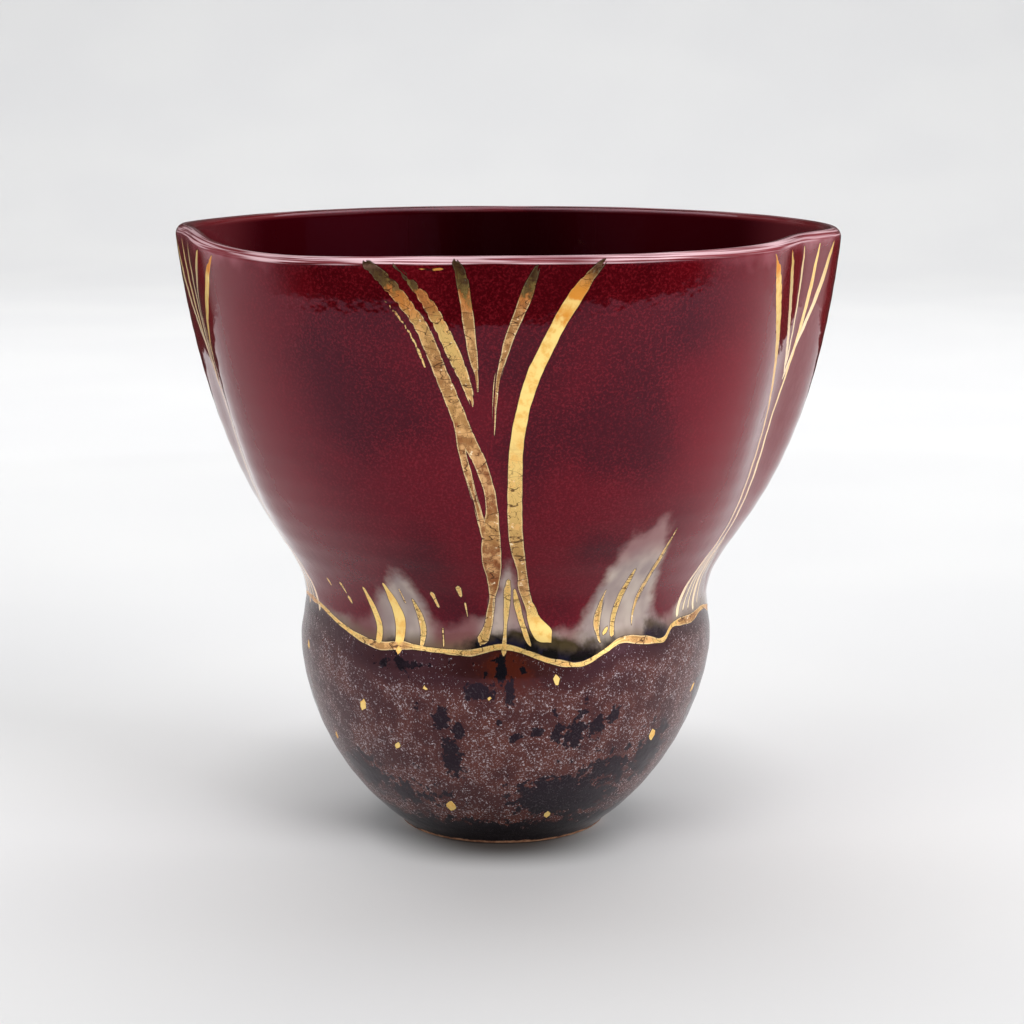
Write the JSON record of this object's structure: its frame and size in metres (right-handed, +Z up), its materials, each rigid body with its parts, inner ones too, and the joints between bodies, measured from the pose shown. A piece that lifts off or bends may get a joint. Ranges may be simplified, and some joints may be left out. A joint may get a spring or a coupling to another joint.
{
  "type": "tea bowl",
  "caption": "Ceramic tea bowl: a flared, lobed cup in maroon glaze on a round, dark speckled bulb, with gold lustre trees, a gold seam and small gold dots.",
  "frame": {"origin": "middle of the flat foot, where it stands on the table", "axes": "+Z up through the open mouth; -Y towards the front tree; +X to the viewer's right"},
  "size_m": [0.0965, 0.0969, 0.0887],
  "materials": {
    "glaze": "glossy maroon glaze on the cup, dark brown speckled glaze on the bulb, gold lustre lines"
  },
  "bodies": {
    "root": {"bowl": "glaze"}
  },
  "joints": []
}
